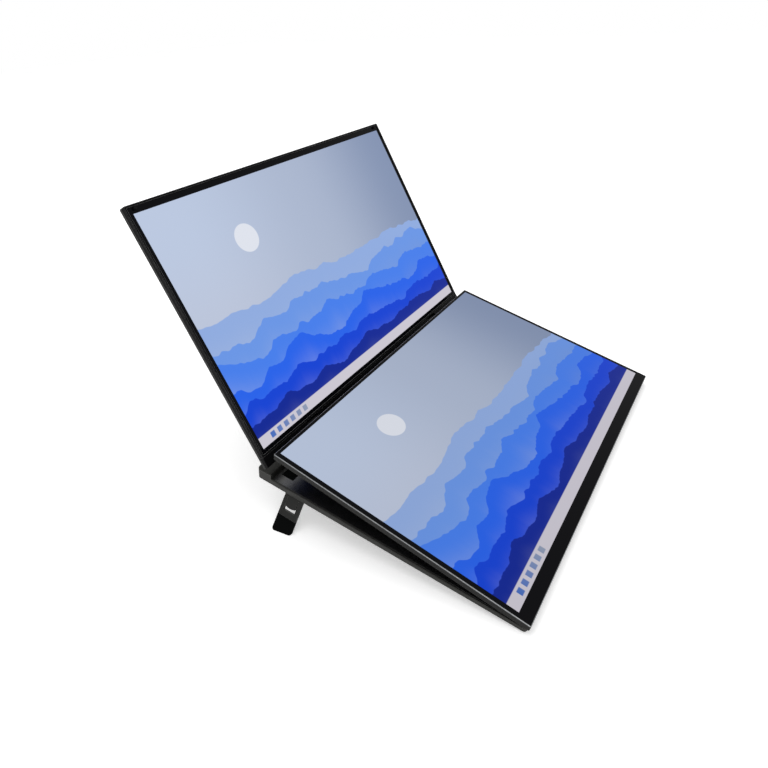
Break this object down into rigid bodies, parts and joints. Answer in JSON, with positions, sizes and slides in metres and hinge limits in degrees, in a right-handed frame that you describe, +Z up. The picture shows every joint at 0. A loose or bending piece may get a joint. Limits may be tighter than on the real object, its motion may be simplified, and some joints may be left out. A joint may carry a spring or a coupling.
{
  "type": "dual-screen portable monitor",
  "caption": "Folding portable monitor: an upper screen in a hinged lid over a lower screen that rises on lift arms from a thin base with fold-out rear feet.",
  "frame": {"origin": "on the table, under the middle of the open object's box", "axes": "+X to the right as the user sees the screens, +Y away from the user towards the lid, +Z up"},
  "size_m": [0.3846, 0.3447, 0.2643],
  "materials": {
    "dark_metal": "fine blasted, anodised dark grey",
    "deck_black": "satin black",
    "rim_silver": "cut bright edge",
    "frame_black": "anodised black",
    "display_glass": "polished, black border behind",
    "panel_cell": "polished",
    "light_guide": "clear white",
    "circuit_board": "lacquered",
    "hinge_black": "black oxide",
    "hinge_steel": "brushed",
    "dark_plastic": "fine grain",
    "black_rubber": "matt"
  },
  "bodies": {
    "base": {"base_shell": "dark_metal", "base_deck": "deck_black", "deck_pads": "black_rubber", "rear_bar_cover": "dark_metal", "hinge_tower_left": "hinge_black", "hinge_tower_right": "hinge_black", "lid_hinge_pin_left": "hinge_steel", "lid_hinge_pin_right": "hinge_steel", "front_hinge_pins": "hinge_steel", "arm_pivot_pins": "hinge_steel", "foot_pins": "hinge_steel", "front_pads": "black_rubber", "rear_pads": "black_rubber", "main_board": "circuit_board", "usb_c_ports": "hinge_steel", "mini_hdmi_port": "hinge_steel", "speaker_left": "dark_plastic", "speaker_right": "dark_plastic", "key_board": "circuit_board", "base_screws": "hinge_steel"},
    "lower_screen": {"screen_back_cover": "dark_metal", "screen_rim": "rim_silver", "screen_glass": "display_glass", "screen_lcd_cell": "panel_cell", "screen_backlight": "light_guide", "screen_driver_board": "circuit_board", "screen_hinge_knuckles": "hinge_steel"},
    "lid": {"lid_back_cover": "dark_metal", "lid_front_frame": "frame_black", "lid_glass": "display_glass", "lid_lcd_cell": "panel_cell", "lid_backlight": "light_guide", "lid_driver_board": "circuit_board", "lid_bumpers": "black_rubber", "lid_barrel_left": "frame_black", "lid_barrel_middle": "frame_black", "lid_barrel_right": "frame_black"},
    "left_arm": {"lift_arm_left": "hinge_steel", "lift_shoe_left": "dark_plastic"},
    "right_arm": {"lift_arm_right": "hinge_steel", "lift_shoe_right": "dark_plastic"},
    "left_foot": {"foot_left_leg": "dark_metal", "foot_left_tip": "black_rubber"},
    "right_foot": {"foot_right_leg": "dark_metal", "foot_right_tip": "black_rubber"},
    "power_key": {"power_button": "dark_plastic"},
    "menu_key": {"menu_button": "dark_plastic"}
  },
  "joints": [
    {"name": "lid_hinge", "type": "hinge", "parent": "base", "child": "lid", "pos_m": [0, 0.06438, 0.05346], "axis": [-1, 0, 0], "range_deg": [-125.95, 20]},
    {"name": "screen_lift", "type": "hinge", "parent": "base", "child": "lower_screen", "pos_m": [0, -0.16562, 0.00536], "axis": [1, 0, 0], "range_deg": [-6.5, 1.03]},
    {"name": "left_arm_pivot", "type": "hinge", "parent": "base", "child": "left_arm", "pos_m": [-0.11085, 0.04323, 0.03475], "axis": [-1, 0, 0], "range_deg": [-15.79, 2.51]},
    {"name": "right_arm_pivot", "type": "hinge", "parent": "base", "child": "right_arm", "pos_m": [0.11085, 0.04323, 0.03475], "axis": [-1, 0, 0], "range_deg": [-15.79, 2.51]},
    {"name": "left_foot_fold", "type": "hinge", "parent": "base", "child": "left_foot", "pos_m": [-0.16735, 0.03718, 0.03115], "axis": [0, 0.9898, 0.1426], "range_deg": [-125.5, 0]},
    {"name": "right_foot_fold", "type": "hinge", "parent": "base", "child": "right_foot", "pos_m": [0.16735, 0.03718, 0.03115], "axis": [0, -0.9898, -0.1426], "range_deg": [-125.5, 0]},
    {"name": "power_key_press", "type": "slide", "parent": "base", "child": "power_key", "axis": [0, -0.9898, -0.1426], "range_m": [0, 0.0004], "stiffness_N_per_m": 2500},
    {"name": "menu_key_press", "type": "slide", "parent": "base", "child": "menu_key", "axis": [0, -0.9898, -0.1426], "range_m": [0, 0.0004], "stiffness_N_per_m": 2500}
  ],
  "couplings": [
    {"joint": "screen_lift", "follows": "lid_hinge", "ratio": 0.051608},
    {"joint": "left_arm_pivot", "follows": "lid_hinge", "ratio": 0.12535},
    {"joint": "right_arm_pivot", "follows": "lid_hinge", "ratio": 0.12535}
  ]
}
